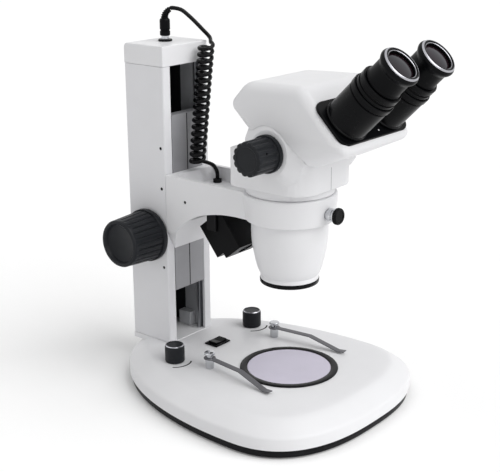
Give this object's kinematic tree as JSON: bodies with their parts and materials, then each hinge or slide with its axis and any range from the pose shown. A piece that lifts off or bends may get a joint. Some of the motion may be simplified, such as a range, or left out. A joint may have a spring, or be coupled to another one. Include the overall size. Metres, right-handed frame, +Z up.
{
  "type": "stereo microscope",
  "caption": "Binocular stereo zoom microscope: slanted head in a ring arm that slides on a column, over a lit egg-shaped base with stage plate, clips, dimmers, tilting lamp and coiled lead.",
  "frame": {"origin": "under the optical axis at the height of the base's underside, which is just above the table on its feet", "axes": "+Z up along the optical axis, +Y towards the column at the back, +X to the user's right"},
  "size_m": [0.2466, 0.3461, 0.3874],
  "materials": {
    "white_paint": "gloss",
    "black_plastic": "satin",
    "black_metal": "satin",
    "cast_grey": "satin",
    "steel": "satin",
    "dark_steel": "satin",
    "chrome": "polished",
    "brass": "satin",
    "rubber": "matte",
    "frosted_glass": "frosted",
    "lens_glass": "polished",
    "lamp_plastic": "gloss"
  },
  "bodies": {
    "stand": {"base_shell": "white_paint", "base_plate": "black_plastic", "foot_1": "rubber", "foot_2": "rubber", "foot_3": "rubber", "foot_4": "rubber", "stage_ring": "black_metal", "stage_glass": "frosted_glass", "stage_lamp": "lamp_plastic", "left_clip_post": "chrome", "right_clip_post": "chrome", "left_dimmer_pot": "steel", "right_dimmer_pot": "steel", "switch_frame": "black_plastic", "power_inlet": "black_plastic", "column": "white_paint", "column_cap": "white_paint", "socket_ring": "black_metal", "left_slide_rail": "steel", "right_slide_rail": "steel", "slide_stop": "cast_grey", "plug_collar": "chrome", "plug_body": "black_plastic", "curly_cord": "rubber"},
    "carriage": {"carriage": "cast_grey", "rack": "steel", "arm": "white_paint", "cord_grommet": "rubber", "lamp_yoke": "dark_steel"},
    "focus_drive": {"focus_shaft": "steel", "left_focus_knob": "black_plastic", "right_focus_knob": "black_plastic"},
    "head": {"objective_barrel": "white_paint", "objective_ring": "black_metal", "objective_lens": "lens_glass", "zoom_body": "white_paint", "head_shell": "white_paint", "face_plate": "black_plastic"},
    "zoom_drive": {"zoom_shaft": "brass", "left_zoom_knob": "black_plastic", "right_zoom_knob": "black_plastic"},
    "zoom_lens": {"zoom_carrier": "black_metal"},
    "left_tube": {"left_tube": "black_metal", "left_prism": "lens_glass", "left_eyepiece": "black_plastic", "left_eye_lens": "lens_glass"},
    "right_tube": {"right_tube": "black_metal", "right_prism": "lens_glass", "right_eyepiece": "black_plastic", "right_eye_lens": "lens_glass"},
    "left_diopter": {"left_diopter_ring": "black_plastic"},
    "right_diopter": {"right_diopter_ring": "black_plastic"},
    "clamp": {"clamp_screw": "black_metal"},
    "lamp": {"lamp_case": "black_plastic", "lamp_lens": "lens_glass"},
    "left_clip": {"left_clip_leaf": "dark_steel"},
    "right_clip": {"right_clip_leaf": "dark_steel"},
    "left_dimmer": {"left_dimmer_knob": "black_plastic"},
    "right_dimmer": {"right_dimmer_knob": "black_plastic"},
    "rocker": {"switch_rocker": "black_plastic"}
  },
  "joints": [
    {"name": "focus_slide", "type": "slide", "parent": "stand", "child": "carriage", "axis": [0, 0, 1], "range_m": [-0.045, 0.04], "deforming": ["curly_cord"]},
    {"name": "focus_turn", "type": "hinge", "parent": "stand", "child": "focus_drive", "pos_m": [0, 0.15977, 0.154], "axis": [1, 0, 0], "range_deg": [-258, 290]},
    {"name": "head_turn", "type": "hinge", "parent": "carriage", "child": "head", "pos_m": [0, 0, 0.1942], "axis": [0, 0, 1], "range_deg": [-90, 90]},
    {"name": "zoom_turn", "type": "hinge", "parent": "head", "child": "zoom_drive", "pos_m": [0, -0.0148, 0.2697], "axis": [1, 0, 0], "range_deg": [-130, 130]},
    {"name": "zoom_slide", "type": "slide", "parent": "head", "child": "zoom_lens", "axis": [0, 0, 1], "range_m": [-0.00499, 0.00499]},
    {"name": "left_tube_swing", "type": "hinge", "parent": "head", "child": "left_tube", "pos_m": [-0.0295, -0.0937, 0.2945], "axis": [0, -0.7071, 0.7071], "range_deg": [-14, 14]},
    {"name": "right_tube_swing", "type": "hinge", "parent": "head", "child": "right_tube", "pos_m": [0.0295, -0.0937, 0.2945], "axis": [0, -0.7071, 0.7071], "range_deg": [-14, 14]},
    {"name": "left_diopter_turn", "type": "hinge", "parent": "left_tube", "child": "left_diopter", "pos_m": [-0.0295, -0.0838, 0.3044], "axis": [0, -0.7071, 0.7071], "range_deg": [-120, 120]},
    {"name": "right_diopter_turn", "type": "hinge", "parent": "right_tube", "child": "right_diopter", "pos_m": [0.0295, -0.0838, 0.3044], "axis": [0, -0.7071, 0.7071], "range_deg": [-120, 120]},
    {"name": "clamp_turn", "type": "hinge", "parent": "carriage", "child": "clamp", "pos_m": [0, 0, 0.2058], "axis": [0, -1, 0], "range_deg": [-180, 180]},
    {"name": "lamp_tilt", "type": "hinge", "parent": "carriage", "child": "lamp", "pos_m": [0, 0.083, 0.1758], "axis": [1, 0, 0], "range_deg": [-10, 10]},
    {"name": "left_clip_swing", "type": "hinge", "parent": "stand", "child": "left_clip", "pos_m": [-0.0525, 0.0609, 0.0459], "axis": [0, 0, 1], "range_deg": [-15, 30]},
    {"name": "right_clip_swing", "type": "hinge", "parent": "stand", "child": "right_clip", "pos_m": [0.0525, 0.0609, 0.0459], "axis": [0, 0, 1], "range_deg": [-30, 15]},
    {"name": "left_dimmer_turn", "type": "hinge", "parent": "stand", "child": "left_dimmer", "pos_m": [-0.0621, 0.1005, 0.0354], "axis": [0, 0, 1], "range_deg": [-150, 150]},
    {"name": "right_dimmer_turn", "type": "hinge", "parent": "stand", "child": "right_dimmer", "pos_m": [0.0621, 0.1005, 0.0354], "axis": [0, 0, 1], "range_deg": [-150, 150]},
    {"name": "rocker_tilt", "type": "hinge", "parent": "stand", "child": "rocker", "pos_m": [0.001, 0.0975, 0.0373], "axis": [0, 1, 0], "range_deg": [-8, 8]}
  ],
  "couplings": [
    {"joint": "focus_turn", "follows": "focus_slide", "rad_per_m": -111.11},
    {"joint": "zoom_turn", "follows": "zoom_slide", "rad_per_m": 454.55},
    {"joint": "right_tube_swing", "follows": "left_tube_swing", "ratio": -1}
  ]
}
